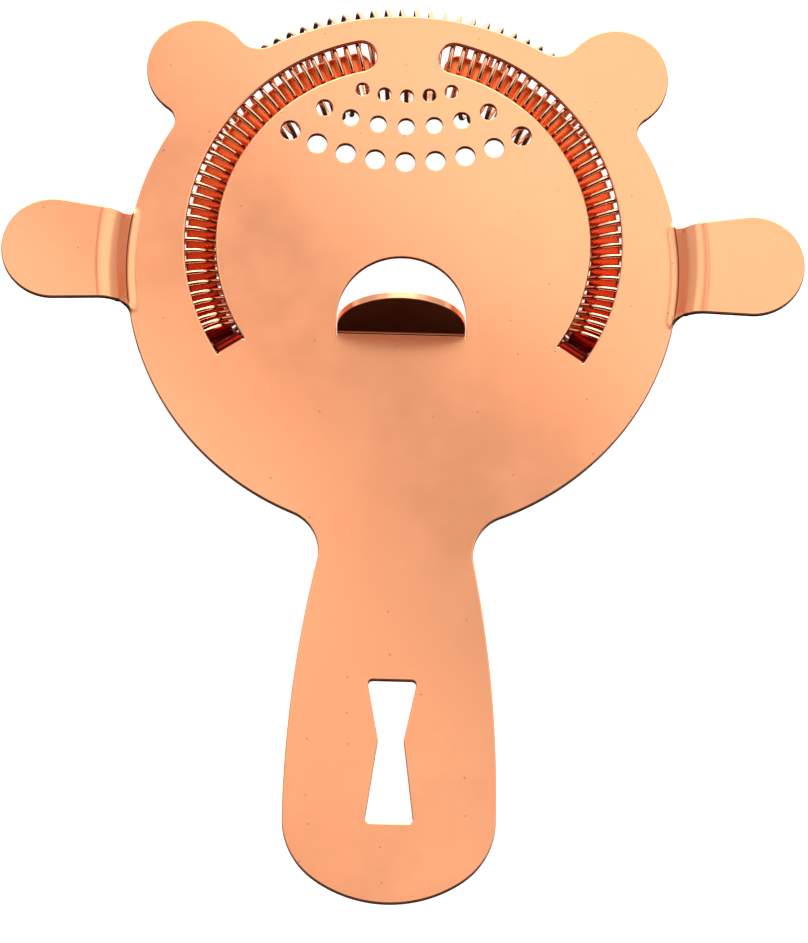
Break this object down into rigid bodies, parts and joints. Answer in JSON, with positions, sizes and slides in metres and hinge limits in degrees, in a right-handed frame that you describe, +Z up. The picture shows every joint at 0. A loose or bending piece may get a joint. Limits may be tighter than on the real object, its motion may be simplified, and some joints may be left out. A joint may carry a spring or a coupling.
{
  "type": "hawthorne strainer",
  "caption": "Stamped metal cocktail strainer with a waisted slot in its handle, finger tab, round front lobes, raised side wings and a coil spring round the underside.",
  "frame": {"origin": "bottom centre of the whole strainer, level with the lowest point of the coil spring, with the plate level", "axes": "+Y runs along the handle towards the front lobes, +Z is up out of the plate's top face on the finger tab's side, +X is to the right seen from above with the handle nearest"},
  "size_m": [0.1366, 0.1622, 0.032],
  "materials": {
    "sheet": "polished copper plating",
    "wire": "polished copper plating"
  },
  "bodies": {
    "sheet": {"strainer_plate": "sheet"},
    "spring": {"coil_spring": "wire"}
  },
  "joints": [
    {"name": "spring_press", "type": "slide", "parent": "sheet", "child": "spring", "axis": [0, -1, 0], "range_m": [0, 0.003], "stiffness_N_per_m": 400, "deforming": ["coil_spring"]}
  ]
}
